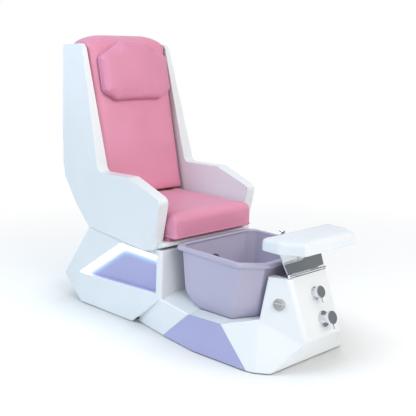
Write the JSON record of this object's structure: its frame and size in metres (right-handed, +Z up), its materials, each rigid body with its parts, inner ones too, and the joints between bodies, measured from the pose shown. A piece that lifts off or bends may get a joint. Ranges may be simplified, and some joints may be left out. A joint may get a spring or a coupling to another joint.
{
  "type": "child pedicure chair",
  "caption": "Child-size pedicure chair: a winged padded seat shell on a moulded base with a foot tub, chrome water controls, side lights and a tip-over foot rest.",
  "frame": {"origin": "middle of the footprint, on the floor", "axes": "foot rest towards -Y, back rest towards +Y, +Z up, +X across the chair"},
  "size_m": [0.524, 1.2539, 1.0947],
  "materials": {
    "white_shell": "smooth gloss gel coat",
    "lilac_panel": "satin lilac",
    "lilac_tub": "satin lilac",
    "pink_vinyl": "soft padded vinyl",
    "pillow_vinyl": "soft padded vinyl",
    "white_vinyl": "soft padded vinyl",
    "chrome": "polished",
    "zinc_steel": "zinc plated",
    "frame_steel": "black paint",
    "foot_rubber": "matt",
    "plywood": "sanded plywood",
    "brass": "cast and turned",
    "hose_braid": "braided",
    "grey_plastic": "moulded",
    "black_plastic": "moulded",
    "jet_plastic": "moulded",
    "service_plastic": "moulded",
    "tape_fabric": "hook and loop tape",
    "led_light": "lit diffuser"
  },
  "bodies": {
    "chair": {"base_shell": "white_shell", "base_frame": "frame_steel", "levelling_feet": "foot_rubber", "service_box": "service_plastic", "recess_tray_left": "lilac_panel", "recess_tray_right": "lilac_panel", "led_strip_left": "led_light", "led_strip_right": "led_light", "lower_trim_left": "lilac_panel", "lower_trim_right": "lilac_panel", "led_driver": "grey_plastic", "power_inlet": "black_plastic", "seat_shell": "white_shell", "seat_bolts": "zinc_steel", "seat_board": "plywood", "back_board": "plywood", "board_screws": "zinc_steel", "seat_cushion": "pink_vinyl", "back_cushion": "pink_vinyl", "headrest_pillow": "pillow_vinyl", "headrest_tapes": "tape_fabric", "tub": "lilac_tub", "tub_pads": "foot_rubber", "drain_flange": "chrome", "drain_nut": "grey_plastic", "waste_pipe": "grey_plastic", "drain_cable": "black_plastic", "drain_ring": "chrome", "jet_housing": "black_plastic", "jet_nut": "black_plastic", "jet_cover": "jet_plastic", "jet_motor": "black_plastic", "upper_tap_flange": "chrome", "upper_tap_body": "brass", "lower_tap_flange": "chrome", "lower_tap_body": "brass", "cold_inlet": "brass", "hot_inlet": "brass", "cold_hose": "hose_braid", "hot_hose": "hose_braid", "spray_holder": "chrome", "hinge_leaf": "zinc_steel", "hinge_pin": "zinc_steel"},
    "upper_tap": {"upper_tap_knob": "chrome"},
    "lower_tap": {"lower_tap_knob": "chrome"},
    "drain_control": {"drain_knob": "chrome"},
    "plug": {"drain_plug": "chrome"},
    "foot_rest": {"footrest_bracket": "chrome", "footrest_board": "plywood", "footrest_screws": "zinc_steel", "foot_pad": "white_vinyl"},
    "spray": {"spray_head": "chrome"},
    "impeller": {"jet_impeller": "grey_plastic"}
  },
  "joints": [
    {"name": "upper_tap_turn", "type": "hinge", "parent": "chair", "child": "upper_tap", "pos_m": [0.008, -0.54706, 0.244], "axis": [0, -0.9281, 0.3722], "range_deg": [0, 90]},
    {"name": "lower_tap_turn", "type": "hinge", "parent": "chair", "child": "lower_tap", "pos_m": [0.016, -0.58035, 0.161], "axis": [0, -0.9281, 0.3722], "range_deg": [-90, 90]},
    {"name": "drain_knob_turn", "type": "hinge", "parent": "chair", "child": "drain_control", "pos_m": [-0.11508, -0.50256, 0.21983], "axis": [-0.8901, -0.4262, 0.1617], "range_deg": [0, 120]},
    {"name": "drain_plug_lift", "type": "slide", "parent": "chair", "child": "plug", "axis": [0, 0, 1], "range_m": [0, 0.01]},
    {"name": "footrest_flip", "type": "hinge", "parent": "chair", "child": "foot_rest", "pos_m": [0, -0.518, 0.3118], "axis": [1, 0, 0], "range_deg": [0, 90]},
    {"name": "spray_head_lift", "type": "slide", "parent": "chair", "child": "spray", "axis": [0, 0, 1], "range_m": [0, 0.25]},
    {"name": "jet_impeller_spin", "type": "hinge", "parent": "chair", "child": "impeller", "pos_m": [-0.008, -0.07, 0.261], "axis": [0, -1, 0], "continuous": true}
  ],
  "couplings": [
    {"joint": "drain_knob_turn", "follows": "drain_plug_lift", "rad_per_m": 209.4}
  ]
}
